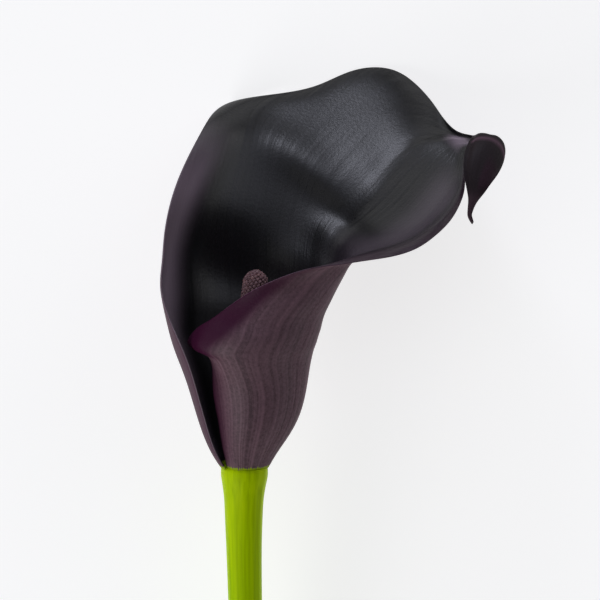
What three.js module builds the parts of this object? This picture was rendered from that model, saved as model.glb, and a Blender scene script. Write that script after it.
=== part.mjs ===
// A cut arum lily: a near-black, funnel-shaped spathe wrapped round a dusky spadix, on a short green stem.
// The flower lies on its back as it would on a table. Millimetres, +Z up: the open side of the spathe looks
// up, the stem runs along -Y to its cut end, and the pointed tip of the spathe is at +X.
// The model is set out from the middle of the collar, where stem, spathe and spadix meet.
import * as THREE from "three";

// Driving dimensions.
const COLLAR_HEIGHT = 31; // middle of the collar above the table
const STEM_LENGTH = 150;
const STEM_RADIUS = 4.5; // along most of its length
const COLLAR_RADIUS = 6.8; // where the stem swells to carry the spathe
const CUT_RADIUS = 5; // the cut end, a little splayed
const SPATHE_THICKNESS = 0.8;
const SPADIX_LENGTH = 52;
const SPADIX_RADIUS = 3.4;
const SEAT_GAP = 0.4; // between pieces that grow from each other

// How finely the pieces are faceted. The spathe's rows are given as a first station and the number of rows up
// to the next one, and they crowd at the corner of the flap.
const ROW_SPANS = [
  [0, 9],
  [3.3, 7],
  [4.8, 60],
  [28, 0],
];
const SPATHE_COLUMNS = 34; // from margin to margin, even, so that one line follows the midrib
const STEM_SIDES = 24;
const STEM_RINGS = 18;
const SPADIX_SIDES = 22;
const SPADIX_RING_PITCH = 1.05;

const rad = THREE.MathUtils.degToRad;
const point = (x, y, z) => new THREE.Vector3(x, y, z);

// A smooth curve through rows of [station, ...values]: a natural cubic spline, so its bend never jumps.
function keyedCurve(rows) {
  const last = rows.length - 1;
  const keys = rows.map((row) => row[0]);
  const bends = rows[0].slice(1).map((_, k) => {
    const value = (i) => rows[i][k + 1];
    const bend = new Array(last + 1).fill(0);
    const ratio = new Array(last + 1).fill(0);
    for (let i = 1; i < last; i++) {
      const before = keys[i] - keys[i - 1];
      const after = keys[i + 1] - keys[i];
      const turn = (value(i + 1) - value(i)) / after - (value(i) - value(i - 1)) / before;
      const pivot = 2 * (before + after) - before * ratio[i - 1];
      ratio[i] = after / pivot;
      bend[i] = (6 * turn - before * bend[i - 1]) / pivot;
    }
    for (let i = last - 1; i > 0; i--) bend[i] -= ratio[i] * bend[i + 1];
    return bend;
  });
  return (station) => {
    let i = 0;
    while (i < last - 1 && station > keys[i + 1]) i++;
    const span = keys[i + 1] - keys[i];
    const a = (keys[i + 1] - station) / span;
    const b = 1 - a;
    return bends.map(
      (bend, k) =>
        a * rows[i][k + 1] +
        b * rows[i + 1][k + 1] +
        ((a ** 3 - a) * bend[i] + (b ** 3 - b) * bend[i + 1]) * (span ** 2 / 6),
    );
  };
}

// A closed geometry from rings of points, each end closed on a middle point.
function ringedGeometry(rings, startMiddle, endMiddle) {
  const sides = rings[0].length;
  const points = [startMiddle, ...rings.flat(), endMiddle];
  const end = points.length - 1;
  const at = (ring, side) => 1 + ring * sides + (side % sides);
  const index = [];
  for (let side = 0; side < sides; side++) {
    index.push(0, at(0, side), at(0, side + 1));
    index.push(end, at(rings.length - 1, side + 1), at(rings.length - 1, side));
    for (let ring = 0; ring < rings.length - 1; ring++) {
      const [a, b] = [at(ring, side), at(ring, side + 1)];
      const [c, d] = [at(ring + 1, side + 1), at(ring + 1, side)];
      // The diagonal swaps sides from one quad to the next, so that it joins the low points of a relief.
      if ((ring + side) % 2) index.push(a, d, b, b, d, c);
      else index.push(a, d, c, a, c, b);
    }
  }
  const geometry = new THREE.BufferGeometry().setFromPoints(points);
  geometry.setIndex(index);
  geometry.computeVertexNormals();
  return geometry;
}

// A ring of points round a centre. It faces along the heading, and side 0 is on the +X side.
function ringAround(centre, heading, sides, radiusAt) {
  const across = point(1, 0, 0).addScaledVector(heading, -heading.x).normalize();
  const up = across.clone().cross(heading).normalize();
  return Array.from({ length: sides }, (_, side) => {
    const angle = (side / sides) * 2 * Math.PI;
    return centre
      .clone()
      .addScaledVector(across, radiusAt(side) * Math.cos(angle))
      .addScaledVector(up, radiusAt(side) * Math.sin(angle));
  });
}

// The stem runs from the collar down to the table, nearly straight, and lies on the lower edge of its
// cut end.
const STEM_PATH = keyedCurve([
  // share of the length, x, y, z
  [0, -0.1, -SEAT_GAP, COLLAR_HEIGHT],
  [0.07, -0.3, -0.07 * STEM_LENGTH, 29.3],
  [0.2, -0.1, -0.2 * STEM_LENGTH, 26.2],
  [0.6, 0.9, -0.6 * STEM_LENGTH, 15.8],
  [1, -0.8, -STEM_LENGTH, CUT_RADIUS],
]);
const STEM_THICKNESS = keyedCurve([
  [0, COLLAR_RADIUS],
  [0.027, 5.8],
  [0.055, 5.35],
  [0.085, 5.05],
  [0.135, 4.75],
  [0.22, STEM_RADIUS],
  [0.8, STEM_RADIUS],
  [0.96, 4.8],
  [1, CUT_RADIUS],
]);
const STEM_RIBS = 0.1; // soft ribs along the stem

function stemPoint(share) {
  return point(...STEM_PATH(share));
}

function stemHeading(share) {
  const step = 0.01;
  return stemPoint(share - step).sub(stemPoint(share + step)).normalize();
}

function stemGeometry() {
  const rings = [];
  for (let i = 0; i <= STEM_RINGS; i++) {
    // Rings crowd towards the collar, where the stem swells.
    const share = 1 - (i / STEM_RINGS) ** 0.6;
    const radius = STEM_THICKNESS(share)[0];
    const ribbed = (side) => radius + (side % 2 ? STEM_RIBS : 0);
    rings.push(ringAround(stemPoint(share), stemHeading(share), STEM_SIDES, ribbed));
  }
  return ringedGeometry(rings, stemPoint(1), stemPoint(0));
}

// The spathe is one leaf-like sheet, set out at numbered stations from collar to tip. At each it crosses
// five rails: the left margin, the left crown, the midrib, the right crown and the right margin. Between the
// midrib and a margin it is an arc, and the crown is the middle of that arc. Stations 0 to 4 are the tube,
// where the sheet wraps right round: the left margin lies outside and the right margin is tucked in behind
// it. From station 5 the sheet opens into the limb: the right margin is the front rim and the left margin
// the back rim. They draw together at the neck, station 19, beyond which the tip folds over and hangs down.
const RIB_BEARING = rad(-25); // bearings run from +X towards +Z, round the tube
const LEFT_BEARING = rad(146 - 360);
const TUBE_LEAN = 0.17; // the tube rises towards the viewer by this much per mm of its length

// A station of the tube: how far up it lies, its middle, its radius, and the bearing and depth to which the
// right margin is tucked in.
const TUBE = [
  { up: 0, middle: 0, radius: 6.5, rightBearing: rad(192), tuck: 2.2 },
  { up: 5, middle: 0, radius: 9.5, rightBearing: rad(165), tuck: 3.8 },
  { up: 13, middle: 0.9, radius: 13.6, rightBearing: rad(155), tuck: 5.1 },
  { up: 23.5, middle: 0.5, radius: 16.6, rightBearing: rad(150), tuck: 6.4 },
  { up: 33, middle: -0.2, radius: 19.2, rightBearing: rad(165), tuck: 3.9 },
];

function tubePoint({ up, middle, radius }, bearing, tuck = 0) {
  const reach = radius - tuck;
  return [
    middle + reach * Math.cos(bearing),
    up - TUBE_LEAN * reach * Math.sin(bearing),
    COLLAR_HEIGHT + TUBE_LEAN * up + reach * Math.sin(bearing),
  ];
}

const tubeStations = (place) => TUBE.map((ring, station) => [station, ...place(ring)]);

const LEFT_MARGIN = keyedCurve([
  ...tubeStations((ring) => tubePoint(ring, LEFT_BEARING)),
  [5, -21.8, 44.5, 47.4],
  [6, -22.2, 54, 45],
  [7, -21.6, 62.5, 42],
  [8, -19.7, 72, 36.8],
  [9, -16.1, 81.5, 28],
  [10, -11, 91.3, 15.5],
  [11, -5, 97.6, 1],
  [12, 6.8, 100, 1.25],
  [13, 19, 102.3, 1.7],
  [14, 29, 106.5, 0.55],
  [15, 39.3, 107, 0.9],
  [16, 46.5, 102.6, 2.6],
  [17, 50.9, 97.6, 7.9],
  [18, 53.6, 93.6, 13],
  [19, 56.4, 90.5, 19],
  [20, 59.3, 89.2, 24.1],
  [21, 61.4, 88.8, 27.8],
  [22, 61, 88, 30.6],
  [23, 59.6, 84.8, 34.2],
  [24, 59.1, 79.6, 36.8],
  [25, 60.1, 73.6, 38],
  [26, 60.35, 70.9, 38.1],
  [27, 60.15, 68.2, 37.8],
  [27.5, 60.3, 66.8, 37.5],
  [28, 61.35, 65, 37.2],
]);
const LEFT_CROWN = keyedCurve([
  ...tubeStations((ring) => tubePoint(ring, (LEFT_BEARING + RIB_BEARING) / 2)),
  [5, -9.3, 43.9, 18.4],
  [6, -9.1, 51.9, 17.2],
  [7, -7.8, 60.2, 18],
  [8, -5.4, 68.5, 18.7],
  [9, -1.7, 76.5, 16.2],
  [10, 3, 83.6, 13.1],
  [11, 8.7, 87.9, 11.2],
  [12, 17, 89.7, 10.1],
  [13, 25.7, 91.9, 9.9],
  [14, 33.3, 94.4, 9.9],
  [15, 40.9, 94.8, 10.6],
  [16, 46.4, 92.7, 11.7],
  [17, 50.2, 91, 13.6],
  [18, 53.5, 89.6, 15.4],
  [19, 56.7, 88.8, 19.6],
  [20, 59.7, 88.4, 24.4],
  [21, 62.6, 88.7, 27.8],
  [22, 63.6, 89.1, 31.4],
  [23, 62.3, 85, 35.4],
  [24, 61, 79.1, 37.65],
  [25, 61.1, 73.55, 38.5],
  [26, 60.8, 70.85, 38.2],
  [27, 60.39, 68.23, 37.845],
  [27.5, 60.46, 66.9, 37.53],
  [28, 61.4, 65.08, 37.215],
]);
const MIDRIB = keyedCurve([
  ...tubeStations((ring) => tubePoint(ring, RIB_BEARING)),
  [5, 18.2, 41.2, 28.4],
  [6, 19.6, 45.9, 27.9],
  [7, 21.3, 50.8, 27.2],
  [8, 22.8, 56.6, 22.8],
  [9, 24.4, 62, 21.2],
  [10, 26.6, 65.6, 20.5],
  [11, 29, 68.5, 21],
  [12, 31.6, 71.6, 21.7],
  [13, 34.6, 74.9, 21.4],
  [14, 37.8, 78.4, 20.1],
  [15, 41.2, 82, 19],
  [16, 44.6, 85, 18.4],
  [17, 48.3, 87.1, 18.7],
  [18, 52.3, 87.9, 19.9],
  [19, 56.4, 88.3, 22],
  [20, 60, 87.5, 25],
  [21, 63.9, 88, 28.4],
  [22, 66.4, 88.7, 32],
  [23, 65.2, 84.8, 35.6],
  [24, 62.9, 78.3, 38],
  [25, 62.1, 73.4, 38.7],
  [26, 61.2, 70.75, 38.25],
  [27, 60.62, 68.25, 37.86],
  [27.5, 60.62, 67, 37.54],
  [28, 61.45, 65.16, 37.22],
]);
const RIGHT_CROWN = keyedCurve([
  ...tubeStations((ring) => tubePoint(ring, (ring.rightBearing + RIB_BEARING) / 2, ring.tuck / 3)),
  [5, 12.4, 37.3, 53.3],
  [6, 18.6, 43, 51.5],
  [7, 23.3, 47.5, 48.5],
  [8, 26.6, 51.6, 45.5],
  [9, 29.3, 55.8, 40.8],
  [10, 33.2, 58.6, 37],
  [11, 38, 60.7, 38],
  [12, 42.4, 63, 38],
  [13, 46.2, 65.9, 36.9],
  [14, 49.4, 69.5, 35.6],
  [15, 52.1, 73.2, 33],
  [16, 54.1, 76.7, 30],
  [17, 55.7, 80.1, 27.1],
  [18, 57, 83, 25.4],
  [19, 58.2, 85.5, 24.6],
  [20, 60.9, 86.3, 26],
  [21, 66.4, 87.1, 28.6],
  [22, 69.4, 87, 31.8],
  [23, 67.6, 82.1, 35.7],
  [24, 64.7, 77.4, 38.15],
  [25, 63.1, 73.3, 38.75],
  [26, 61.65, 70.7, 38.22],
  [27, 60.85, 68.23, 37.85],
  [27.5, 60.785, 67.1, 37.53],
  [28, 61.5, 65.24, 37.215],
]);
const RIGHT_MARGIN = keyedCurve([
  ...tubeStations((ring) => tubePoint(ring, ring.rightBearing, ring.tuck)).slice(0, 4),
  // The corner of the flap flares out over the gap between the two margins.
  [3.55, -8.9, 28.9, 39.5],
  [3.75, -10.4, 30.9, 39.7],
  [4, -15, 32.3, 40.6],
  [4.25, -14.6, 34.9, 44],
  [5, -9.8, 38.8, 50],
  [6, -0.5, 45.4, 56.3],
  [7, 8.5, 50, 59.8],
  [8, 17, 52.8, 60.6],
  [9, 25, 54, 60],
  [10, 32.5, 55.1, 57.5],
  [11, 39.5, 56.2, 54],
  [12, 45.8, 58.2, 52.3],
  [13, 50.6, 61.3, 49.3],
  [14, 54.6, 65.1, 45.5],
  [15, 57.3, 69.2, 41.3],
  [16, 58.9, 73.4, 36.8],
  [17, 59.3, 77.2, 32],
  [18, 59.3, 80.8, 29],
  [19, 59.5, 84, 27],
  [20, 61.6, 85.2, 27.3],
  [21, 67.4, 84.6, 28.8],
  [22, 69.8, 83, 31.4],
  [23, 68.4, 79.2, 35],
  [24, 66.1, 76, 37.9],
  [25, 64.1, 73.2, 38.5],
  [26, 62.1, 70.6, 38.15],
  [27, 61.08, 68.2, 37.81],
  [27.5, 60.95, 67.2, 37.5],
  [28, 61.55, 65.32, 37.2],
]);
// How far the sheet swells inwards just short of each margin, so that the margin seems to roll outwards.
const LEFT_ROLL = keyedCurve([
  [0, 0],
  [2, 0.5],
  [4, 0.8],
  [6, 1.3],
  [8, 1.4],
  [10, 1.1],
  [12, 0.8],
  [14, 0.4],
  [16, 0.2],
  [19, 0],
  [28, 0],
]);
const RIGHT_ROLL = keyedCurve([
  [0, 0],
  [4, 0],
  [6, 0.6],
  [10, 1.5],
  [13, 1.8],
  [16, 0.8],
  [19, 0],
  [28, 0],
]);
const ROLL_START = 0.55; // where the swelling starts, as a share of the way from midrib to margin
// How widely the valley along the midrib is rounded, as a share of each half. It is hardly rounded in the
// tube, which has none.
const VALLEY = keyedCurve([
  [0, 0.03],
  [5, 0.04],
  [9, 0.08],
  [19, 0.13],
  [28, 0.1],
]);

// A point of the arc that starts at the midrib, has the crown as its middle and ends at the margin.
function arcPoint(rib, crown, margin, share) {
  const chord = margin.clone().sub(rib);
  const middle = rib.clone().add(margin).multiplyScalar(0.5);
  const rise = crown.clone().sub(middle);
  const half = 2 * Math.atan(Math.max((2 * rise.length()) / chord.length(), 0.01));
  const angle = (2 * share - 1) * half;
  const lift = (Math.cos(angle) - Math.cos(half)) / (1 - Math.cos(half));
  return middle
    .addScaledVector(chord, Math.sin(angle) / Math.sin(half) / 2)
    .addScaledVector(rise, lift);
}

// A row of points of the sheet's middle surface, from -1, the left margin, to 1, the right margin.
function sheetRow(station, columns) {
  const [left, leftCrown, rib, rightCrown, right] = [
    LEFT_MARGIN, LEFT_CROWN, MIDRIB, RIGHT_CROWN, RIGHT_MARGIN,
  ].map((rail) => point(...rail(station)));
  const arcs = (across) =>
    across < 0 ? arcPoint(rib, leftCrown, left, -across) : arcPoint(rib, rightCrown, right, across);
  // Each point is a weighted mean of its neighbours, which rounds the valley between the two arcs.
  const [valley] = VALLEY(station);
  return columns.map((across) => {
    const reach = valley * (1 - Math.abs(across)) ** 2;
    const mean = point(0, 0, 0);
    for (let k = -3; k <= 3; k++) {
      mean.addScaledVector(arcs(across + (k * reach) / 3), (4 - Math.abs(k)) / 16);
    }
    return mean;
  });
}

// Unit normals of a grid of points, on the side that looks into the funnel.
function gridNormals(grid) {
  const row = (i) => grid[Math.min(Math.max(i, 0), grid.length - 1)];
  return grid.map((points, i) =>
    points.map((_, j) => {
      const left = Math.max(j - 1, 0);
      const right = Math.min(j + 1, points.length - 1);
      const along = row(i + 1)[j].clone().sub(row(i - 1)[j]);
      const across = row(i)[right].clone().sub(row(i)[left]);
      return across.cross(along).normalize();
    }),
  );
}

function displaced(grid, normals, amountAt) {
  return grid.map((points, i) =>
    points.map((p, j) => p.clone().addScaledVector(normals[i][j], amountAt(i, j))),
  );
}

function spatheGeometry() {
  const stations = [0];
  ROW_SPANS.slice(1).forEach(([end], span) => {
    const [start, rows] = ROW_SPANS[span];
    for (let i = 1; i <= rows; i++) stations.push(start + ((end - start) * i) / rows);
  });
  const lastRow = stations.length - 1;
  const columns = [];
  for (let j = 0; j <= SPATHE_COLUMNS; j++) {
    const share = (2 * j) / SPATHE_COLUMNS - 1;
    columns.push(Math.sin((share * Math.PI) / 2) * 0.35 + share * 0.65);
  }
  const flat = stations.map((station) => sheetRow(station, columns));
  const rolled = displaced(flat, gridNormals(flat), (i, j) => {
    const [roll] = (columns[j] < 0 ? LEFT_ROLL : RIGHT_ROLL)(stations[i]);
    const u = Math.max((Math.abs(columns[j]) - ROLL_START) / (1 - ROLL_START), 0);
    // 6.75 u u (1 - u) climbs to 1 where u is two thirds.
    return 6.75 * Math.max(roll, 0) * u * u * (1 - u);
  });
  const normals = gridNormals(rolled);
  const inner = displaced(rolled, normals, () => SPATHE_THICKNESS / 2);
  const outer = displaced(rolled, normals, () => -SPATHE_THICKNESS / 2);

  const width = SPATHE_COLUMNS + 1;
  const faceSize = inner.length * width;
  const at = (face, i, j) => face * faceSize + i * width + j;
  const index = [];
  const quad = (a, b, c, d) => index.push(a, b, c, a, c, d);
  for (let i = 0; i < lastRow; i++) {
    for (let j = 0; j < SPATHE_COLUMNS; j++) {
      quad(at(0, i, j), at(0, i, j + 1), at(0, i + 1, j + 1), at(0, i + 1, j));
      // The outer face is split on the same diagonal, so the two faces stay parallel.
      const [a, b] = [at(1, i, j), at(1, i, j + 1)];
      const [c, d] = [at(1, i + 1, j + 1), at(1, i + 1, j)];
      index.push(a, c, b, a, d, c);
    }
    // Narrow strips close the two margins.
    const [left, right] = [0, SPATHE_COLUMNS];
    quad(at(0, i, left), at(0, i + 1, left), at(1, i + 1, left), at(1, i, left));
    quad(at(0, i, right), at(1, i, right), at(1, i + 1, right), at(0, i + 1, right));
  }
  // Two more close the foot and the tip.
  const [foot, tip] = [0, lastRow];
  for (let j = 0; j < SPATHE_COLUMNS; j++) {
    quad(at(0, foot, j), at(1, foot, j), at(1, foot, j + 1), at(0, foot, j + 1));
    quad(at(0, tip, j), at(0, tip, j + 1), at(1, tip, j + 1), at(1, tip, j));
  }
  const geometry = new THREE.BufferGeometry().setFromPoints([...inner.flat(2), ...outer.flat(2)]);
  geometry.setIndex(index);
  geometry.computeVertexNormals();
  return geometry;
}

// The spadix is a slim finger that stands on the stem inside the tube, covered all over with tiny florets.
// Every other point of its surface is raised, which gives staggered rows of blunt florets.
const SPADIX_PATH = keyedCurve([
  // share of the length, x, y, z
  [0, 0.2, 0, COLLAR_HEIGHT],
  [0.5, 0.9, 0.5 * SPADIX_LENGTH, COLLAR_HEIGHT + 4],
  [1, 3.2, SPADIX_LENGTH, COLLAR_HEIGHT + 8.2],
]);
const SPADIX_THICKNESS = keyedCurve([
  [0, 2.6],
  [0.1, 3],
  [0.4, SPADIX_RADIUS],
  [0.75, 3.2],
  [0.93, 2.7],
  [1, 2],
]);
const FLORET_RELIEF = 0.35;

function spadixPoint(share) {
  return point(...SPADIX_PATH(share));
}

function spadixHeading(share) {
  const step = 0.01;
  return spadixPoint(share + step).sub(spadixPoint(share - step)).normalize();
}

function spadixGeometry() {
  const rings = [];
  const count = Math.round(SPADIX_LENGTH / SPADIX_RING_PITCH);
  for (let i = 0; i <= count; i++) {
    const share = i / count;
    const radius = SPADIX_THICKNESS(share)[0];
    const relief = i === 0 ? 0 : FLORET_RELIEF;
    const studded = (side) => radius + ((i + side) % 2 ? 0 : relief);
    rings.push(ringAround(spadixPoint(share), spadixHeading(share), SPADIX_SIDES, studded));
  }
  const tip = spadixPoint(1).addScaledVector(spadixHeading(1), 1.2);
  return ringedGeometry(rings, spadixPoint(0), tip);
}

function piece(name, geometry, colour, roughness) {
  const material = new THREE.MeshStandardMaterial({ color: colour, roughness, metalness: 0 });
  const mesh = new THREE.Mesh(geometry, material);
  mesh.name = name;
  return mesh;
}

const flower = new THREE.Group();
flower.add(
  piece("stem", stemGeometry(), 0x86a508, 0.45),
  piece("spathe", spatheGeometry(), 0x2a2026, 0.35),
  piece("spadix", spadixGeometry(), 0x62444a, 0.8),
);

// The origin is moved from the collar to the table, under the middle of the whole flower.
const bounds = new THREE.Box3().setFromObject(flower);
const middle = bounds.getCenter(point(0, 0, 0));
flower.position.set(-middle.x, -middle.y, -bounds.min.z);

export default flower;
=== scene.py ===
import math
import random

import bmesh
import bpy
import numpy as np
from mathutils import Matrix, Vector


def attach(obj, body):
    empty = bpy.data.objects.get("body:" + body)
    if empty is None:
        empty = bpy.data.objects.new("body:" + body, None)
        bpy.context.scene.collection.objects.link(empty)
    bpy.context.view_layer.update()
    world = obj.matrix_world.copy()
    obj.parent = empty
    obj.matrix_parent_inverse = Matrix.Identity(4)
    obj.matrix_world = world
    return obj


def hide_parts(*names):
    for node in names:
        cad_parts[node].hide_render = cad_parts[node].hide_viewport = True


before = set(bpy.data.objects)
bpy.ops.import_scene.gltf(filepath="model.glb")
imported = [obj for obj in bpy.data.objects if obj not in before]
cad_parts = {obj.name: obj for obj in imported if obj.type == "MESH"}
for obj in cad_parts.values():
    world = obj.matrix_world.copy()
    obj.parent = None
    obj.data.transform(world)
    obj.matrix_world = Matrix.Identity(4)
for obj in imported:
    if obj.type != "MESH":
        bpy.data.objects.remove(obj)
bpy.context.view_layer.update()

# Stem
# A fleshy green stalk, round and nearly straight, with a smooth waxy skin and faint lengthwise streaks. It
# swells into the collar that spathe and spadix grow from. Its lower end is a clean knife cut.
MM = 0.001  # lengths below are in millimetres, unless a comment says metres
COLLAR = Vector((-0.02371, 0.0216, 0.00031))  # the middle of the collar, brought down to the table
COLLAR_HEIGHT = 31
STEM_LENGTH = 150
STEM_SIDES = 64
STEM_RINGS = 160
STEM_RIBS = 12
RIB_HEIGHT = 0.05
STEM_UNEVENNESS = 0.06  # how far the stem is from round, in a slow twist
CUT_RINGS = (0.05, 0.05, 0.12, 0.2, 0.2, 0.2)  # widths of the rings of the cut face, as shares of the radius
SKIN_EDGE = 0.93  # where the skin starts to round over into the cut, as a share of the radius
CUT_BEVEL = 0.35  # the skin's rounded edge round the cut
CUT_DRAWN_IN = 0.02  # how far the cut draws the skin's end in, as a share of the radius
FLESH_DEPTH = 0.3  # how far the cut flesh dries back behind the skin


def from_collar(x, y, z):
    """A place in the part's frame from millimetres across, up the flower and above the table."""
    return COLLAR + Vector((x, y, z)) * MM


def keyed_curve(*rows):
    """A smooth curve through rows of key and values: a natural cubic spline, so its bend never jumps."""
    keys = np.array([row[0] for row in rows], float)
    values = np.array([row[1:] for row in rows], float)
    spans = np.diff(keys)
    turns = np.diff(np.diff(values, axis=0) / spans[:, None], axis=0)
    system = np.diag(2 * (spans[:-1] + spans[1:])) + np.diag(spans[1:-1], 1) + np.diag(spans[1:-1], -1)
    bends = np.zeros_like(values)
    bends[1:-1] = np.linalg.solve(system, 6 * turns)

    def at(key):
        i = min(max(int(np.searchsorted(keys, key)) - 1, 0), len(spans) - 1)
        b = (key - keys[i]) / spans[i]
        a = 1 - b
        bent = (a**3 - a) * bends[i] + (b**3 - b) * bends[i + 1]
        return a * values[i] + b * values[i + 1] + bent * spans[i] ** 2 / 6

    return at


def linear(hex_colour):
    """An sRGB hex colour as the linear colour that a shader takes."""
    channels = [int(hex_colour[i : i + 2], 16) / 255 for i in (1, 3, 5)]
    return (*[c / 12.92 if c <= 0.04045 else ((c + 0.055) / 1.055) ** 2.4 for c in channels], 1.0)


def set_inputs(node, inputs):
    """Fills a node's inputs. Each is given as a value, or as a node and the name of its output."""
    for name, value in inputs.items():
        socket = next(s for s in node.inputs if s.name == name and s.enabled)
        if isinstance(value, tuple) and isinstance(value[0], bpy.types.Node):
            source = next(s for s in value[0].outputs if s.name == value[1] and s.enabled)
            node.id_data.links.new(source, socket)
        else:
            socket.default_value = value


def add_node(tree, kind, settings=None, inputs=None):
    """Adds a node with its settings and its inputs."""
    node = tree.nodes.new(kind)
    for name, value in (settings or {}).items():
        setattr(node, name, value)
    set_inputs(node, inputs or {})
    return node


def set_ramp(node, *stops):
    """Gives a colour ramp its stops, each a position and a hex colour."""
    elements = node.color_ramp.elements
    while len(elements) < len(stops):
        elements.new(1.0)
    for element, (position, hex_colour) in zip(elements, stops):
        element.position = position
        element.color = linear(hex_colour)


def new_material(name):
    """An empty material with a Principled surface, and that surface."""
    material = bpy.data.materials.new(name)
    material.use_nodes = True
    return material, material.node_tree.nodes["Principled BSDF"]


def new_piece(name, bm, node, materials):
    """Makes an object of a bmesh. It rides on the flower's one body and stands for a node of the frame."""
    mesh = bpy.data.meshes.new(name)
    bm.to_mesh(mesh)
    bm.free()
    mesh.shade_smooth()
    for material in materials:
        mesh.materials.append(material)
    piece = bpy.data.objects.new(name, mesh)
    bpy.context.scene.collection.objects.link(piece)
    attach(piece, "root")
    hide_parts(node)
    return piece


stem_path = keyed_curve(
    # share of the length, x, y, z
    (0, -0.1, -0.4, COLLAR_HEIGHT),
    (0.07, -0.3, -0.07 * STEM_LENGTH, 29.3),
    (0.2, -0.1, -0.2 * STEM_LENGTH, 26.2),
    (0.6, 0.9, -0.6 * STEM_LENGTH, 15.8),
    (1, -0.8, -STEM_LENGTH, 5),
)
stem_radius = keyed_curve(
    # share of the length, radius
    (0, 6.2),
    (0.013, 6.3),
    (0.027, 6.0),
    (0.055, 5.35),
    (0.085, 5.05),
    (0.135, 4.75),
    (0.22, 4.5),
    (0.8, 4.5),
    (0.96, 4.8),
    (1, 5),
)


def stem_place(share, turn, reach):
    """A point of the stem from its share of the length, its turn round the axis and its reach from it."""
    step = 0.01
    middle = Vector(stem_path(share))
    heading = Vector(stem_path(share - step) - stem_path(share + step)).normalized()
    across = Vector((1, 0, 0)).cross(heading).cross(heading).normalized() * -1
    up = across.cross(heading)
    return from_collar(*(middle + (across * math.cos(turn) + up * math.sin(turn)) * reach))


def make_stem():
    """A straight rod, cut across into rings, with its lower end worked into a cut face, and then bent."""
    bm = bmesh.new()
    bmesh.ops.create_cone(bm, cap_ends=True, segments=STEM_SIDES, radius1=1, radius2=1, depth=1)
    long_edges = [e for e in bm.edges if abs(e.verts[0].co.z - e.verts[1].co.z) > 0.5]
    bmesh.ops.subdivide_edges(bm, edges=long_edges, cuts=STEM_RINGS - 1, use_grid_fill=True)
    cut = next(f for f in bm.faces if f.normal.z < -0.5)
    for width in CUT_RINGS:
        bmesh.ops.inset_region(bm, faces=[cut], thickness=width)
    for face in bm.faces:
        face.material_index = 1 if face.normal.z < -0.5 else 0
    bmesh.ops.poke(bm, faces=[cut])
    straight = bm.verts.layers.float_vector.new("straight")
    for vert in bm.verts:
        share = 0.5 - vert.co.z
        turn = math.atan2(vert.co.y, vert.co.x)
        radius = stem_radius(share)[0]
        reach = vert.co.xy.length
        outwards = Vector((math.cos(turn), math.sin(turn), 0))
        vert[straight] = outwards * radius * reach + Vector((0, 0, share * STEM_LENGTH))
        ribbed = radius + RIB_HEIGHT * math.cos(STEM_RIBS * turn)
        ribbed += STEM_UNEVENNESS * math.sin(2 * turn + 9 * share)
        if share > 0.999:
            # The skin rounds over into the cut, and the flesh lies a little behind it.
            sunk = FLESH_DEPTH * max(0.0, 1 - (reach / SKIN_EDGE) ** 4)
            over = CUT_BEVEL * max(0.0, (reach - SKIN_EDGE) / (1 - SKIN_EDGE)) ** 2
            share -= (sunk + over) / STEM_LENGTH
            vert.co = stem_place(share, turn, ribbed * reach * (1 - CUT_DRAWN_IN * (reach > 0.99)))
        else:
            vert.co = stem_place(share, turn, ribbed * reach)
    bmesh.ops.recalc_face_normals(bm, faces=bm.faces)
    return bm


def stem_skin():
    """Fresh green plant skin, waxy and smooth: a soft long gleam over faint lengthwise streaks."""
    material, surface = new_material("waxy green stalk skin")
    tree = material.node_tree
    straight = add_node(tree, "ShaderNodeAttribute", {"attribute_name": "straight"})
    # Streaks are 0.8 mm wide and run for several centimetres.
    drawn_out = add_node(
        tree, "ShaderNodeMapping", inputs={"Vector": (straight, "Vector"), "Scale": (1.2, 1.2, 0.03)}
    )
    streaks = add_node(
        tree, "ShaderNodeTexNoise", inputs={"Vector": (drawn_out, "Vector"), "Scale": 1.0, "Detail": 4.0}
    )
    shades = add_node(tree, "ShaderNodeValToRGB", inputs={"Fac": (streaks, "Fac")})
    set_ramp(shades, (0.3, "#B0D200"), (0.5, "#C0E300"), (0.75, "#D0EE08"))
    # The collar is the yellowest part of the stem, and the green deepens away from it.
    parts = add_node(tree, "ShaderNodeSeparateXYZ", inputs={"Vector": (straight, "Vector")})
    down = add_node(
        tree,
        "ShaderNodeMapRange",
        inputs={"Value": (parts, "Z"), "From Min": 0.0, "From Max": 60.0, "To Min": 0.0, "To Max": 1.0},
    )
    tint = add_node(tree, "ShaderNodeValToRGB", inputs={"Fac": (down, "Result")})
    set_ramp(tint, (0.0, "#FFFDF0"), (0.3, "#F8FAF0"), (1.0, "#E2EED8"))
    colour = add_node(
        tree,
        "ShaderNodeMix",
        {"data_type": "RGBA", "blend_type": "MULTIPLY"},
        {"Factor": 1.0, "A": (shades, "Color"), "B": (tint, "Color")},
    )
    relief = add_node(
        tree, "ShaderNodeBump", inputs={"Height": (streaks, "Fac"), "Strength": 0.5, "Distance": 0.02 * MM}
    )
    set_inputs(surface, {"Base Color": (colour, "Result"), "Normal": (relief, "Normal")})
    surface.inputs["Roughness"].default_value = 0.45
    surface.inputs["IOR"].default_value = 1.4
    surface.inputs["Specular IOR Level"].default_value = 0.06
    surface.inputs["Subsurface Weight"].default_value = 0.15
    surface.inputs["Subsurface Radius"].default_value = (1.0, 1.2, 0.3)
    surface.inputs["Subsurface Scale"].default_value = 1.5 * MM
    return material


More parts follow.
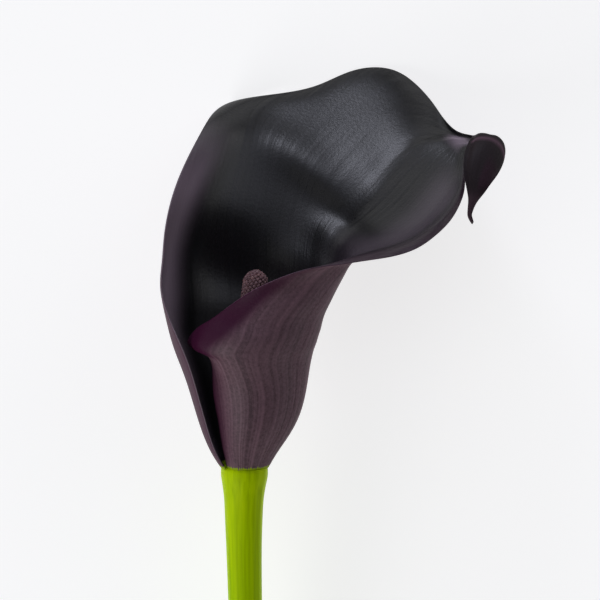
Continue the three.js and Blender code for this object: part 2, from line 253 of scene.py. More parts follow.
def stem_flesh():
    """Cut plant flesh: pale, wet and spongy, dotted with the darker ends of the stem's strands."""
    material, surface = new_material("cut stalk flesh")
    tree = material.node_tree
    straight = add_node(tree, "ShaderNodeAttribute", {"attribute_name": "straight"})
    # The strands end in dots about 0.8 mm apart.
    strands = add_node(
        tree,
        "ShaderNodeTexVoronoi",
        inputs={"Vector": (straight, "Vector"), "Scale": 1.3, "Randomness": 0.8},
    )
    shades = add_node(tree, "ShaderNodeValToRGB", inputs={"Fac": (strands, "Distance")})
    set_ramp(shades, (0.12, "#8FA348"), (0.3, "#C9D79A"), (0.8, "#E4EAC4"))
    relief = add_node(
        tree,
        "ShaderNodeBump",
        inputs={"Height": (strands, "Distance"), "Strength": 0.5, "Distance": 0.2 * MM},
    )
    set_inputs(surface, {"Base Color": (shades, "Color"), "Normal": (relief, "Normal")})
    surface.inputs["Roughness"].default_value = 0.3
    surface.inputs["Subsurface Weight"].default_value = 0.2
    surface.inputs["Subsurface Radius"].default_value = (1.0, 1.2, 0.5)
    surface.inputs["Subsurface Scale"].default_value = 1.0 * MM
    return material


new_piece("stem_stalk", make_stem(), "stem", [stem_skin(), stem_flesh()])

# Spathe
# One leaf-like sheet that grows from the collar, wraps round into a funnel with its left margin outside, and
# opens into a waved limb. Its tip narrows to a neck, folds forward and hangs down. It is about 0.8 mm thick
# and thins to its margins. The inside is near black with a satin gleam, the outside a dusky purple.
SPATHE_COLUMNS = 72
COLUMN_CROWDING = 0.35  # how much closer the columns stand at the margins than at the midrib
FOOT_STATION = -0.2  # the foot runs down into the collar
LAST_STATION = 28
SPATHE_THICKNESS = 0.8
MARGIN_THINNING = 0.35  # how much thinner the sheet is at its margins, as a share
LIMB_THINNING = 0.15  # and how much thinner its limb is than its foot
MARGIN_LENGTHENING = 0.25  # the rounding of the sheet's edge draws it in by this much
RIB_BEARING = math.radians(-25)  # bearings run from +X towards +Z, round the tube
LEFT_BEARING = math.radians(146 - 360)
TUBE_LEAN = 0.17  # the tube rises towards the viewer by this much per mm of its length

# The rings of the tube: how far up, the middle, the radius, and the tucked-in margin's bearing and depth.
TUBE = [
    (0, 0, 6.6, 192, 2.2),
    (5, 0.05, 9.9, 165, 3.8),
    (13, 0.95, 14, 155, 5.1),
    (23.5, 0.6, 17, 150, 6.4),
    (33, -0.3, 19.8, 165, 3.9),
]


def tube_rows(bearing_at, tuck_share):
    """Stations 0 to 4 of a rail, as rows of station, x, y, z."""
    rows = []
    for station, (up, middle, radius, right_bearing, tuck) in enumerate(TUBE):
        bearing = bearing_at(math.radians(right_bearing))
        reach = radius - tuck * tuck_share
        rise = reach * math.sin(bearing)
        x = middle + reach * math.cos(bearing)
        rows.append((station, x, up - TUBE_LEAN * rise, COLLAR_HEIGHT + TUBE_LEAN * up + rise))
    return rows


# The five rails that the sheet crosses at each station: margin, crown, midrib, crown and margin.
left_margin = keyed_curve(
    *tube_rows(lambda right: LEFT_BEARING, 0),
    (5, -22, 44.5, 47.4),
    (6, -22.2, 54, 45),
    (7, -21.6, 62.5, 42),
    (8, -19.7, 72, 36.8),
    (9, -16.1, 81.5, 28),
    (10, -11, 91.3, 15.5),
    (11, -5, 97.6, 1),
    (12, 6.8, 100, 1.25),
    (13, 19, 102.3, 1.7),
    (14, 29, 106.5, 0.55),
    (15, 39.3, 107, 0.9),
    (16, 46.5, 102.6, 2.6),
    (17, 50.9, 97.6, 7.9),
    (18, 53.6, 93.6, 13),
    (19, 56.4, 90.5, 19),
    (20, 59.3, 89.2, 24.1),
    (21, 61.4, 88.8, 27.8),
    (22, 61, 88, 30.6),
    (23, 59.6, 84.8, 34.2),
    (24, 59.1, 79.6, 36.8),
    (25, 60.1, 73.6, 38),
    (26, 60.35, 70.9, 38.1),
    (27, 60.15, 68.2, 37.8),
    (27.5, 60.3, 66.8, 37.5),
    (28, 61.35, 65, 37.2),
)
left_crown = keyed_curve(
    *tube_rows(lambda right: (LEFT_BEARING + RIB_BEARING) / 2, 0),
    (5, -9.3, 43.9, 18.4),
    (6, -9.1, 51.9, 17.2),
    (7, -7.8, 60.2, 18),
    (8, -5.4, 68.5, 18.7),
    (9, -1.7, 76.5, 16.2),
    (10, 3, 83.6, 13.2),
    (11, 8.7, 87.9, 11.7),
    (12, 17, 89.7, 10.9),
    (13, 25.7, 91.9, 10.4),
    (14, 33.3, 94.4, 9.9),
    (15, 40.9, 94.8, 10.6),
    (16, 46.4, 92.7, 12.3),
    (17, 50.2, 91, 14.4),
    (18, 53.5, 89.6, 16.1),
    (19, 56.7, 88.8, 19.6),
    (20, 59.7, 88.4, 24.4),
    (21, 62.6, 88.7, 27.8),
    (22, 63.6, 89.1, 31.4),
    (23, 62.3, 85, 35.4),
    (24, 61, 79.1, 37.65),
    (25, 61.1, 73.55, 38.5),
    (26, 60.8, 70.85, 38.2),
    (27, 60.39, 68.23, 37.845),
    (27.5, 60.46, 66.9, 37.53),
    (28, 61.4, 65.08, 37.215),
)
midrib = keyed_curve(
    *tube_rows(lambda right: RIB_BEARING, 0),
    (4.5, 18.7, 38.05, 28.4),
    (5, 18.9, 41, 28.4),
    (6, 20, 45.8, 27.9),
    (7, 21.3, 50.8, 27.2),
    (8, 22.8, 56.6, 22.8),
    (9, 24.4, 62, 21.2),
    (10, 26.6, 65.6, 20.5),
    (11, 29, 68.5, 21),
    (12, 31.6, 71.6, 21.7),
    (13, 34.6, 74.9, 21.4),
    (14, 37.8, 78.4, 20.1),
    (15, 41.2, 82, 19),
    (16, 44.6, 85, 18.4),
    (17, 48.3, 87.1, 18.7),
    (18, 52.3, 87.9, 19.9),
    (19, 56.4, 88.3, 22),
    (20, 60, 87.5, 25),
    (21, 63.9, 88, 28.4),
    (22, 66.4, 88.7, 32),
    (23, 65.2, 84.8, 35.6),
    (24, 62.9, 78.3, 38),
    (25, 62.1, 73.4, 38.7),
    (26, 61.2, 70.75, 38.25),
    (27, 60.62, 68.25, 37.86),
    (27.5, 60.62, 67, 37.54),
    (28, 61.45, 65.16, 37.22),
)
right_crown = keyed_curve(
    *tube_rows(lambda right: (right + RIB_BEARING) / 2, 1 / 3),
    (4.5, 9.5, 33.8, 54.2),
    (5, 12.8, 37.3, 53.3),
    (6, 18.8, 43, 51.5),
    (7, 23.3, 47.5, 48.5),
    (8, 26.6, 51.6, 45.1),
    (9, 29.3, 55.8, 40.8),
    (10, 33.2, 58.6, 37),
    (11, 38, 60.7, 38),
    (12, 42.4, 63, 38),
    (13, 46.2, 65.9, 36.9),
    (14, 49.4, 69.5, 35.6),
    (15, 52.1, 73.2, 33),
    (16, 54.1, 76.7, 30),
    (17, 55.7, 80.1, 27.1),
    (18, 57, 83, 25.4),
    (19, 58.2, 85.5, 24.6),
    (20, 60.9, 86.3, 26),
    (21, 66.4, 87.1, 28.6),
    (22, 69.4, 87, 31.8),
    (23, 67.6, 82.1, 35.7),
    (24, 64.7, 77.4, 38.15),
    (25, 63.1, 73.3, 38.75),
    (26, 61.65, 70.7, 38.22),
    (27, 60.85, 68.23, 37.85),
    (27.5, 60.785, 67.1, 37.53),
    (28, 61.5, 65.24, 37.215),
)
right_margin = keyed_curve(
    *tube_rows(lambda right: right, 1)[:4],
    # The corner of the flap flares out over the gap between the two margins.
    (3.55, -8.9, 28.9, 39.5),
    (3.75, -10.4, 30.9, 39.7),
    (4, -15, 32.3, 40.6),
    (4.25, -14.6, 34.9, 44),
    (5, -9.8, 38.8, 50),
    (6, -0.5, 45.4, 56.3),
    (7, 8.5, 50, 59.8),
    (8, 17, 52.8, 60.6),
    (9, 25, 54, 60),
    (10, 32.5, 55.1, 57.5),
    (11, 39.5, 56.2, 54),
    (12, 45.8, 58.2, 52.3),
    (13, 50.6, 61.3, 49.3),
    (14, 54.6, 65.1, 45.5),
    (15, 57.3, 69.2, 41.3),
    (16, 58.9, 73.4, 36.8),
    (17, 59.3, 77.2, 32),
    (18, 59.3, 80.8, 29),
    (19, 59.5, 84, 27),
    (20, 61.6, 85.2, 27.3),
    (21, 67.4, 84.6, 28.8),
    (22, 69.8, 83, 31.4),
    (23, 68.4, 79.2, 35),
    (24, 66.1, 76, 37.9),
    (25, 64.1, 73.2, 38.5),
    (26, 62.1, 70.6, 38.15),
    (27, 61.08, 68.2, 37.81),
    (27.5, 60.95, 67.2, 37.5),
    (28, 61.55, 65.32, 37.2),
)
# How far the sheet swells inwards just short of each margin, so that the margin seems to roll outwards.
left_roll = keyed_curve(
    (0, 0),
    (2, 0.5),
    (4, 0.8),
    (6, 1.3),
    (8, 1.2),
    (10, 0.8),
    (12, 0.5),
    (14, 0.3),
    (16, 0.2),
    (19, 0),
    (21, 0.1),
    (22.5, 0.4),
    (24, 0.3),
    (26, 0),
    (28, 0),
)
right_roll = keyed_curve((0, 0), (4, 0), (6, 0.6), (10, 1.5), (13, 1.8), (16, 0.8), (19, 0), (28, 0))
ROLL_START = 0.55  # where the swelling starts, as a share of the way from midrib to margin
# How widely the valley along the midrib is rounded, as a share of each half.
valley_width = keyed_curve(
    (0, 0.03), (5, 0.06), (7, 0.22), (9, 0.3), (11, 0.16), (13, 0.1), (19, 0.13), (28, 0.1)
)
# Veins leave the midrib and run out to the margins, so fewer and fewer of them are left beside the midrib. A
# margin is met by the veins that had this share of the way to it at the foot.
left_veins = keyed_curve(
    (0, 1), (6, 1), (8, 0.9), (10, 0.74), (12, 0.47), (14, 0.29), (16, 0.18), (19, 0.14), (28, 0.14)
)
right_veins = keyed_curve(
    (0, 1.1), (1, 0.98), (2, 0.93), (3, 0.91), (4, 0.93), (5, 0.8), (6, 0.7), (8, 0.56), (10, 0.5), (28, 0.4)
)
VEINS = 110  # from the midrib to a margin
# Rows of the sheet, as first station and the number of rows up to the next. They crowd at the flap's corner.
ROW_SPANS = [(FOOT_STATION, 14), (3.3, 18), (4.8, 120), (LAST_STATION, 0)]


def arc(rib, crown, margin, shares):
    """Points of the arc that starts at the midrib, has the crown as its middle and ends at the margin."""
    chord = margin - rib
    middle = (rib + margin) / 2
    rise = crown - middle
    half = 2 * math.atan(max(2 * np.linalg.norm(rise) / np.linalg.norm(chord), 0.01))
    angle = (2 * shares - 1) * half
    lift = (np.cos(angle) - math.cos(half)) / (1 - math.cos(half))
    return middle + chord * (np.sin(angle) / math.sin(half) / 2)[:, None] + rise * lift[:, None]


def sheet_row(station, across):
    """Points of the sheet's middle surface, across from -1, the left margin, to 1, the right margin."""
    rib = midrib(station)
    left = left_crown(station), left_margin(station)
    right = right_crown(station), right_margin(station)
    reach = valley_width(station)[0] * (1 - abs(across)) ** 2
    row = np.zeros((len(across), 3))
    # A weighted mean of neighbouring points rounds the valley between the two arcs.
    for k in range(-3, 4):
        shifted = across + k * reach / 3
        on_left = arc(rib, *left, np.maximum(-shifted, 0))
        on_right = arc(rib, *right, np.maximum(shifted, 0))
        row += np.where(shifted[:, None] < 0, on_left, on_right) * (4 - abs(k)) / 16
    for end, inner in ((0, 1), (-1, -2)):
        outwards = row[end] - row[inner]
        row[end] += outwards / np.linalg.norm(outwards) * MARGIN_LENGTHENING
    return row


def smooth_step(value, start, end):
    """0 before start, 1 after end, and a smooth climb between."""
    t = min(max((value - start) / (end - start), 0.0), 1.0)
    return t * t * (3 - 2 * t)


def spathe_zones(station, across):
    """How far the skin is pale, partly with painted rim light and painted highlights; how far it is magenta,
    partly with painted glow and painted shade; and how far it is green.
    """
    inward = 1 - abs(across)
    if across < 0:
        # The open left margin is paler: partly its own purple-grey, partly painted light standing in for the
        # lamp that lights its rolled edge.
        pale_and_rim_light = smooth_step(inward, 0.4, 0.2) * smooth_step(station, 0, 1) * smooth_step(station, 10.5, 8)
        magenta_and_painted_light = 0.25 * smooth_step(inward, 0.25, 0) * smooth_step(station, 11, 6)
    else:
        # The outside of the flap and the inside of the lobe are a little paler in a stripe short of the rim.
        stripe = smooth_step(inward, 0.75 + 0.35 * smooth_step(station, 11, 9), 0.45)
        stripe *= smooth_step(inward, 0.05, 0.35)
        pale_and_rim_light = 0.2 * stripe * smooth_step(station, 3, 6) * smooth_step(station, 18, 15)
        # The magenta band is 12 mm wide at the flap's corner and 2 mm at the front of the mouth, and goes on
        # faintly along the lobe. At the corner it is partly the rim's own magenta and partly a painted glow
        # of light shining through the thin sheet. The tucked-in margin gets painted shade, dark in the gap
        # between the margins, and the tip has a faint blush.
        width = 0.22 - 0.17 * smooth_step(station, 4, 8)
        band_and_painted_light = smooth_step(inward, width + 0.07, width - 0.04) * smooth_step(station, 3.6, 3.9)
        band_and_painted_light *= smooth_step(station, 9.5, 6)
        lobe = 0.5 * smooth_step(inward, 0.2, 0) * smooth_step(station, 7, 9) * smooth_step(station, 19, 17)
        tucked_shade = 0.9 * smooth_step(inward, 0.42 - 0.17 * smooth_step(station, 0, 3), 0)
        tucked_shade *= smooth_step(station, 0.1, 0.5) * smooth_step(station, 3.9, 3.6)
        blush = 0.35 * smooth_step(across, 0, 0.3)
        blush *= smooth_step(station, 22.9, 23.5) * smooth_step(station, 25, 24.3)
        magenta_and_painted_light = max(band_and_painted_light, lobe, tucked_shade, blush)
    # Painted highlights: the neck and the fold at the top of the tip are painted pale where they gleam. The
    # drying tail is paler.
    neck_highlight = 0.8 * smooth_step(station, 18, 19.3) * smooth_step(station, 20.6, 19.8)
    neck_highlight *= smooth_step(inward, 0.3, 0.8)
    fold_highlight = smooth_step(station, 22.25, 22.4) * smooth_step(station, 22.6, 22.45)
    fold_highlight *= smooth_step(inward, 0.02, 0.2)
    tail = 0.4 * smooth_step(station, 24.5, 26)
    return max(pale_and_rim_light, neck_highlight, fold_highlight, tail), magenta_and_painted_light, 1.2 * smooth_step(station, 0.3, -0.1)


def make_spathe():
    """A flat grid, laid onto the sheet row by row. Its own normals then carry the roll of the margins."""
    stations = [FOOT_STATION]
    for (start, rows), (end, _) in zip(ROW_SPANS, ROW_SPANS[1:]):
        stations.extend(start + (end - start) * (i + 1) / rows for i in range(rows))
    last_row = len(stations) - 1
    bm = bmesh.new()
    bmesh.ops.create_grid(bm, x_segments=SPATHE_COLUMNS, y_segments=last_row, size=1)
    spread = np.linspace(-1, 1, SPATHE_COLUMNS + 1)
    spread = COLUMN_CROWDING * np.sin(spread * math.pi / 2) + (1 - COLUMN_CROWDING) * spread
    places = [sheet_row(station, spread) for station in stations]
    veins = bm.verts.layers.float_vector.new("veins")
    zones = bm.verts.layers.float_vector.new("zones")
    thickness = bm.verts.layers.deform.verify()
    for vert in bm.verts:
        i = round((vert.co.y + 1) / 2 * last_row)
        j = round((vert.co.x + 1) / 2 * SPATHE_COLUMNS)
        station, across = stations[i], spread[j]
        share = (left_veins if across < 0 else right_veins)(station)[0]
        vert[veins] = (across * share * VEINS, station, across)
        vert[zones] = spathe_zones(station, across)
        thinned = MARGIN_THINNING * smooth_step(abs(across), 0.5, 1.0)
        thinned += LIMB_THINNING * smooth_step(station, 2, 10)
        vert[thickness][0] = 1 - thinned
        vert.co = from_collar(*places[i][j])
    bm.normal_update()
    for vert in bm.verts:
        station, across = vert[veins].y, vert[veins].z
        roll = max((left_roll if across < 0 else right_roll)(station)[0], 0)
        u = max((abs(across) - ROLL_START) / (1 - ROLL_START), 0)
        # The factor of 6.75 makes the swelling's peak as high as the roll says.
        vert.co += vert.normal * 6.75 * roll * u * u * (1 - u) * MM
    return bm


def spathe_skin(name, shades, pale_colour_and_painted_light, band_and_painted_light, tip, roughness, gloss, streak_height, grain_height):
    """A satin skin of tiny cells over lengthwise veins, so its gleam is soft, grainy and streaked."""
    material, surface = new_material(name)
    tree = material.node_tree
    veins = add_node(tree, "ShaderNodeAttribute", {"attribute_name": "veins"})
    # One unit across is the space between two veins, about 0.4 mm. A station is about 5 mm. The streaks are
    # groups of veins, 1 mm wide and several centimetres long.
    along = add_node(
        tree, "ShaderNodeMapping", inputs={"Vector": (veins, "Vector"), "Scale": (0.4, 0.12, 0.0)}
    )
    streaks = add_node(
        tree,
        "ShaderNodeTexNoise",
        inputs={"Vector": (along, "Vector"), "Scale": 1.0, "Detail": 3.0, "Roughness": 0.5},
    )
    # Wider bands, 4 mm, where the pigment lies thicker or thinner.
    wide = add_node(
        tree, "ShaderNodeMapping", inputs={"Vector": (veins, "Vector"), "Scale": (0.1, 0.08, 0.0)}
    )
    bands = add_node(
        tree, "ShaderNodeTexNoise", inputs={"Vector": (wide, "Vector"), "Scale": 1.0, "Detail": 2.0}
    )
    # The cells themselves are too fine to show. Clumps of them, 0.8 mm across, give the gleam its grain.
    place = add_node(tree, "ShaderNodeTexCoord")
    cells = add_node(
        tree,
        "ShaderNodeTexNoise",
        inputs={"Vector": (place, "Object"), "Scale": 1.2 / MM, "Detail": 2.0, "Roughness": 0.7},
    )
    lengthwise = add_node(
        tree,
        "ShaderNodeMix",
        {"data_type": "FLOAT"},
        {"Factor": 0.5, "A": (streaks, "Fac"), "B": (bands, "Fac")},
    )
    pigment = add_node(
        tree,
        "ShaderNodeMix",
        {"data_type": "FLOAT"},
        {"Factor": 0.25, "A": (lengthwise, "Result"), "B": (cells, "Fac")},
    )
    shade = add_node(tree, "ShaderNodeValToRGB", inputs={"Fac": (pigment, "Result")})
    set_ramp(shade, *zip((0.4, 0.6), shades))
    # The folded tip is darker. The skin pales towards its open margins, partly as painted rim light, and
    # carries painted highlights on the neck and the tip's fold. It is magenta along the flap's rim, with
    # painted glow at the flap's corner and painted shade on the tucked-in margin, and turns green at its
    # foot, where the change follows the veins and so has a ragged edge.
    run = add_node(tree, "ShaderNodeSeparateXYZ", inputs={"Vector": (veins, "Vector")})
    at_tip = add_node(
        tree, "ShaderNodeMapRange", inputs={"Value": (run, "Y"), "From Min": 19.0, "From Max": 22.0}
    )
    zones = add_node(tree, "ShaderNodeAttribute", {"attribute_name": "zones"})
    parts = add_node(tree, "ShaderNodeSeparateXYZ", inputs={"Vector": (zones, "Vector")})
    ragged = add_node(tree, "ShaderNodeMath", {"operation": "MULTIPLY_ADD"})
    tree.links.new(streaks.outputs["Fac"], ragged.inputs[0])
    ragged.inputs[1].default_value = 2.0
    tree.links.new(parts.outputs["Z"], ragged.inputs[2])
    at_foot = add_node(
        tree, "ShaderNodeMapRange", inputs={"Value": (ragged, "Value"), "From Min": 1.6, "From Max": 1.8}
    )
    # The pale colour also paints rim light and highlights, and the band colour also paints glow and shade.
    colour = (shade, "Color")
    for share, over in (
        ((at_tip, "Result"), tip),
        ((parts, "X"), pale_colour_and_painted_light),
        ((parts, "Y"), band_and_painted_light),
        ((at_foot, "Result"), "#9CB406"),
    ):
        inputs = {"Factor": share, "A": colour, "B": linear(over)}
        colour = (add_node(tree, "ShaderNodeMix", {"data_type": "RGBA"}, inputs), "Result")
    # Seen aslant, the cells hide their own gleam, so the sheet's edges don't shine.
    facing = add_node(tree, "ShaderNodeLayerWeight", inputs={"Blend": 0.5})
    gleam = add_node(
        tree,
        "ShaderNodeMapRange",
        inputs={
            "Value": (facing, "Facing"),
            "From Min": 0.2,
            "From Max": 0.5,
            "To Min": gloss,
            "To Max": gloss / 6,
        },
    )
    vein_relief = add_node(
        tree,
        "ShaderNodeBump",
        inputs={"Height": (streaks, "Fac"), "Strength": 1.0, "Distance": streak_height * MM},
    )
    cell_relief = add_node(
        tree,
        "ShaderNodeBump",
        inputs={
            "Height": (cells, "Fac"),
            "Strength": 1.0,
            "Distance": grain_height * MM,
            "Normal": (vein_relief, "Normal"),
        },
    )
    set_inputs(surface, {"Base Color": colour, "Normal": (cell_relief, "Normal")})
    surface.inputs["Roughness"].default_value = roughness
    surface.inputs["IOR"].default_value = 1.45
    surface.inputs["Specular IOR Level"].default_value = gloss
    set_inputs(surface, {"Specular IOR Level": (gleam, "Result")})
    return material


# The inside is near black and the shiniest side. It gives the long soft gleam at the back of the funnel.
inner_skin = spathe_skin(
    "near-black inner spathe skin",
    shades=("#0E0E10", "#19181C"),
    # The pale colour is lightened to paint rim light on the margin and highlights on the neck; the band
    # colour also paints shade on the tucked-in margin.
    pale_colour_and_painted_light="#A1909F",
    band_and_painted_light="#44203A",
    tip="#0C0B0E",
    roughness=0.36,
    gloss=0.8,
    streak_height=0.12,
    grain_height=0.05,
)
# The outside is duller, a dusky purple with paler streaks.
outer_skin = spathe_skin(
    "dusky purple outer spathe skin",
    shades=("#534047", "#7E616C"),
    # Here the pale colour also paints the highlight on the tip's fold, and the band colour paints glow at
    # the flap's corner and shade on the tucked-in margin.
    pale_colour_and_painted_light="#5E4653",
    band_and_painted_light="#3E1530",
    tip="#2A2226",
    roughness=0.5,
    gloss=0.2,
    streak_height=0.1,
    grain_height=0.08,
)
# The thin edge where the two skins meet is smoother.
cut_edge = spathe_skin(
    "thin edge of the spathe",
    shades=("#141215", "#1C191D"),
    # On the edge too the pale colour paints highlights, and the band colour paints glow and shade.
    pale_colour_and_painted_light="#8A7C86",
    band_and_painted_light="#6A4A60",
    tip="#2A2429",
    roughness=0.5,
    gloss=0.4,
    streak_height=0.03,
    grain_height=0.03,
)
spathe = new_piece("spathe_sheet", make_spathe(), "spathe", [inner_skin, outer_skin, cut_edge])
spathe.vertex_groups.new(name="thickness")
wall = spathe.modifiers.new("thickness", "SOLIDIFY")
wall.thickness = SPATHE_THICKNESS * MM
wall.offset = 0
wall.use_even_offset = False
wall.vertex_group = "thickness"
wall.material_offset = 1
wall.material_offset_rim = 2
rounding = spathe.modifiers.new("rounding", "SUBSURF")
rounding.levels = 1
rounding.render_levels = 1

# Spadix
# The finger inside the funnel: a fleshy core packed all over with tiny florets in spirals. The upper two
# thirds bear blunt pollen florets, and the foot bears rounder, larger seed florets. It is a dusky rose.
SPADIX_LENGTH = 52.3
SPADIX_SLICES = 1500  # steps in which the florets are dealt out over the length
FLORET_TURN = math.radians(137.5)  # the turn from one floret to the next, which packs them evenly
FLORET_BULGE = 0.3  # how far the core lies inside the full radius, which the florets reach
FLORET_SPACING = 1.75  # from one seed floret to the next
SPACING_DROP = 0.7  # how much closer the pollen florets stand
FLORET_ROOM = 0.87  # the area that a floret takes up, as a share of the spacing squared
random.seed(7)

spadix_path = keyed_curve(
    # share of the length, x, y, z
    (0, 0.2, 0, COLLAR_HEIGHT),
    (0.5, 0.9, 0.5 * SPADIX_LENGTH, COLLAR_HEIGHT + 4),
    (1, 3.2, SPADIX_LENGTH, COLLAR_HEIGHT + 8.2),
)
spadix_radius = keyed_curve((0, 2.6), (0.1, 3), (0.35, 3.5), (0.7, 3.5), (1, 3.3))


def spadix_reach(share):
    """The radius at a share of the length. The top is a rounded dome."""
    radius = spadix_radius(share)[0]
    short = max(1 - (1 - share) * SPADIX_LENGTH / radius, 0)
    return radius * math.sqrt(max(1 - short**2, 0))


def spadix_place(share, turn, reach):
    """A point of the spadix, and the way that its skin faces there."""
    step = 0.004
    middle = Vector(spadix_path(share))
    heading = Vector(spadix_path(share + step) - spadix_path(share - step)).normalized()
    side = Vector((1, 0, 0)).cross(heading).normalized()
    away = side.cross(heading) * math.cos(turn) + side * math.sin(turn)
    taper = (spadix_reach(max(share - step, 0)) - spadix_reach(min(share, 1))) / (step * SPADIX_LENGTH)
    return from_collar(*(middle + away * reach)), (away + heading * taper).normalized()


def floret_places():
    """Shares of the length, in order, at which florets sit, each with the spacing of the florets there."""
    filled = 0.0
    for i in range(SPADIX_SLICES):
        share = (i + 0.5) / SPADIX_SLICES
        spacing = FLORET_SPACING - SPACING_DROP * smooth_step(share, 0.26, 0.34)
        step = SPADIX_LENGTH / SPADIX_SLICES
        narrowing = spadix_reach(share - 0.5 / SPADIX_SLICES) - spadix_reach(share + 0.5 / SPADIX_SLICES)
        skin = 2 * math.pi * spadix_reach(share) * math.hypot(step, narrowing)
        filled += skin / (FLORET_ROOM * spacing**2)
        while filled > 1:
            filled -= 1
            yield share, spacing


def add_ball(bm, columns, rows):
    """A ball of radius 1. Blender lists its faces in another order each run, so this sorts them."""
    bmesh.ops.create_uvsphere(bm, u_segments=columns, v_segments=rows, radius=1)
    bm.verts.index_update()
    # The squares of the corners' numbers add up to another sum for each face.
    bm.faces.sort(key=lambda face: sum(vert.index**2 for vert in face.verts))


def make_spadix():
    """A core, and florets set into it one by one along a spiral."""
    bm = bmesh.new()
    add_ball(bm, columns=32, rows=64)
    for vert in bm.verts:
        share = math.acos(max(-1, min(1, -vert.co.z))) / math.pi
        reach = max(spadix_reach(share) - FLORET_BULGE, 0) * (vert.co.xy.length > 0.001)
        vert.co = spadix_place(share, math.atan2(vert.co.y, vert.co.x), reach)[0]
    bm.verts.layers.float.new("tone")
    single = bmesh.new()
    add_ball(single, columns=8, rows=6)
    single.verts.layers.float.new("tone")
    for number, (share, spacing) in enumerate(floret_places()):
        place, facing = spadix_place(share, number * FLORET_TURN, spadix_reach(share) - FLORET_BULGE)
        width = spacing * random.uniform(0.5, 0.58) * MM
        height = (0.5 + 0.25 * (spacing - 1)) * random.uniform(0.85, 1.15) * MM
        turned = facing.to_track_quat("Z", "Y").to_matrix().to_4x4()
        floret = bpy.data.meshes.new("floret")
        single.to_mesh(floret)
        floret.transform(Matrix.Translation(place) @ turned @ Matrix.Diagonal((width, width, height, 1)))
        shade = random.random()
        floret.attributes["tone"].data.foreach_set("value", [shade] * len(floret.vertices))
        bm.from_mesh(floret)
        bpy.data.meshes.remove(floret)
    single.free()
    return bm


def floret_skin():
    """Dusty, fleshy florets: matt, each a little lighter or darker than the next, with pollen on them."""
    material, surface = new_material("dusky rose floret skin")
    tree = material.node_tree
    tone = add_node(tree, "ShaderNodeAttribute", {"attribute_name": "tone"})
    shades = add_node(tree, "ShaderNodeValToRGB", inputs={"Fac": (tone, "Fac")})
    set_ramp(shades, (0.0, "#64464C"), (0.7, "#785860"), (1.0, "#8A686A"))
    place = add_node(tree, "ShaderNodeTexCoord")
    # Pollen lies in grains and clumps of 0.2 mm.
    pollen = add_node(
        tree, "ShaderNodeTexNoise", inputs={"Vector": (place, "Object"), "Scale": 5 / MM, "Detail": 2.0}
    )
    dusting = add_node(
        tree, "ShaderNodeMapRange", inputs={"Value": (pollen, "Fac"), "From Min": 0.55, "From Max": 0.75}
    )
    colour = add_node(
        tree,
        "ShaderNodeMix",
        {"data_type": "RGBA"},
        {"Factor": (dusting, "Result"), "A": (shades, "Color"), "B": linear("#9C7C74")},
    )
    relief = add_node(
        tree, "ShaderNodeBump", inputs={"Height": (pollen, "Fac"), "Strength": 0.6, "Distance": 0.08 * MM}
    )
    set_inputs(surface, {"Base Color": (colour, "Result"), "Normal": (relief, "Normal")})
    surface.inputs["Roughness"].default_value = 0.65
    surface.inputs["Subsurface Weight"].default_value = 0.1
    surface.inputs["Subsurface Radius"].default_value = (1.0, 0.5, 0.4)
    surface.inputs["Subsurface Scale"].default_value = 0.6 * MM
    return material


new_piece("spadix_finger", make_spadix(), "spadix", [floret_skin()])

# Table
# A light table: a plain pale surface with a faint glow of its own, which keeps the shadows weak. It is far
# larger than the flower, so that it fills the view from every side.
TABLE_REACH = 4  # metres from its middle to each side
floor_bm = bmesh.new()
bmesh.ops.create_grid(floor_bm, x_segments=1, y_segments=1, size=TABLE_REACH)
floor_mesh = bpy.data.meshes.new("table")
floor_bm.to_mesh(floor_mesh)
floor_bm.free()
floor = bpy.data.objects.new("table", floor_mesh)
bpy.context.scene.collection.objects.link(floor)
floor_material, floor_surface = new_material("matt white board")
floor_surface.inputs["Base Color"].default_value = linear("#B4B4B6")
floor_surface.inputs["Roughness"].default_value = 0.9
floor_surface.inputs["Specular IOR Level"].default_value = 0.0
floor_surface.inputs["Emission Color"].default_value = linear("#FFFFFF")
floor_surface.inputs["Emission Strength"].default_value = 0.74
floor_mesh.materials.append(floor_material)

# Light
# A dim room and eight soft lamps. The slightly cool ones beyond the bloom's upper rim give the dark inner
# skin its gleam. The one in front brightens the tube, and those on the right shape the flap and the stem.
LAMP_DISTANCE = 2.5  # metres
room = bpy.data.worlds.new("dim room")
bpy.context.scene.world = room
room.use_nodes = True
tree = room.node_tree
dim_wall = tree.nodes["Background"]
dim_wall.inputs["Color"].default_value = linear("#F6F6F6")
dim_wall.inputs["Strength"].default_value = 0.02
# Where the camera looks past the table it sees a pale wall, which sheds no light of its own.
seen = add_node(tree, "ShaderNodeLightPath")
pale_wall = add_node(tree, "ShaderNodeBackground", inputs={"Color": linear("#F6F6F6"), "Strength": 1.0})
walls = add_node(tree, "ShaderNodeMixShader", inputs={"Fac": (seen, "Is Camera Ray")})
tree.links.new(dim_wall.outputs["Background"], walls.inputs[1])
tree.links.new(pale_wall.outputs["Background"], walls.inputs[2])
tree.links.new(walls.outputs["Shader"], tree.nodes["World Output"].inputs["Surface"])


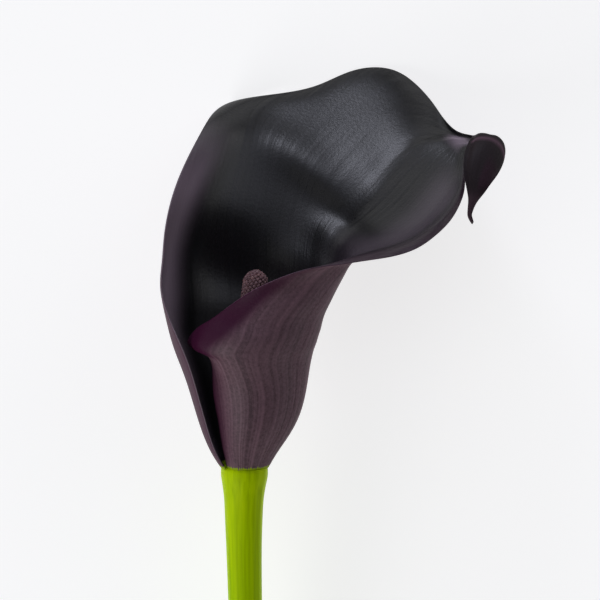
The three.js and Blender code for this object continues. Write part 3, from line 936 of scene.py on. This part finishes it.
def add_lamp(name, azimuth, elevation, width, height, power, tint="#FFFFFF"):
    """A flat soft lamp that faces the bloom. Its angles are in degrees, its sides in metres."""
    lamp = bpy.data.lights.new(name, "AREA")
    lamp.shape = "RECTANGLE"
    lamp.size = width
    lamp.size_y = height
    lamp.energy = power
    lamp.color = linear(tint)[:3]
    place = bpy.data.objects.new(name, lamp)
    a, e = math.radians(azimuth), math.radians(elevation)
    away = Vector((math.cos(a) * math.cos(e), math.sin(a) * math.cos(e), math.sin(e)))
    place.location = from_collar(15, 50, 25) + away * LAMP_DISTANCE
    place.rotation_euler = away.to_track_quat("Z", "Y").to_euler()
    place.visible_camera = False
    bpy.context.scene.collection.objects.link(place)


add_lamp("rim lamp", 112, 25, 0.6, 0.4, 10, "#ECEFFF")
add_lamp("wide rim lamp", 103, 35, 2.1, 1.2, 6, "#ECEFFF")
add_lamp("high lamp", 95, 62, 3.0, 1.2, 3, "#ECEFFF")
add_lamp("back lamp", 172, 47, 1.4, 1.2, 1.4)
add_lamp("upper right lamp", 46, 45, 1.9, 1.4, 3.6, "#ECEFFF")
add_lamp("right rim lamp", 58, 20, 0.8, 0.6, 1.8)
add_lamp("side lamp", 25, 27, 2.6, 1.4, 5.5)
add_lamp("front lamp", 222, 29, 1.6, 1.1, 26)

# Camera
# The flower lies on its back, so the camera looks straight down on what the photograph shows upright.
# It is far off, with a long lens, because the photograph shows hardly any perspective.
VIEW_WIDTH = 162
VIEW_MIDDLE = (14.85, 44.55)
VIEW_PLANE = 22  # the height above the table at which the view has that width
CAMERA_HEIGHT = 6.5  # metres above that plane
camera = bpy.data.objects.new("camera", bpy.data.cameras.new("camera"))
bpy.context.scene.collection.objects.link(camera)
camera.location = from_collar(*VIEW_MIDDLE, VIEW_PLANE) + Vector((0, 0, CAMERA_HEIGHT))
camera.data.lens = camera.data.sensor_width * CAMERA_HEIGHT / (VIEW_WIDTH * MM)
bpy.context.scene.camera = camera
bpy.context.scene.view_settings.view_transform = "Standard"
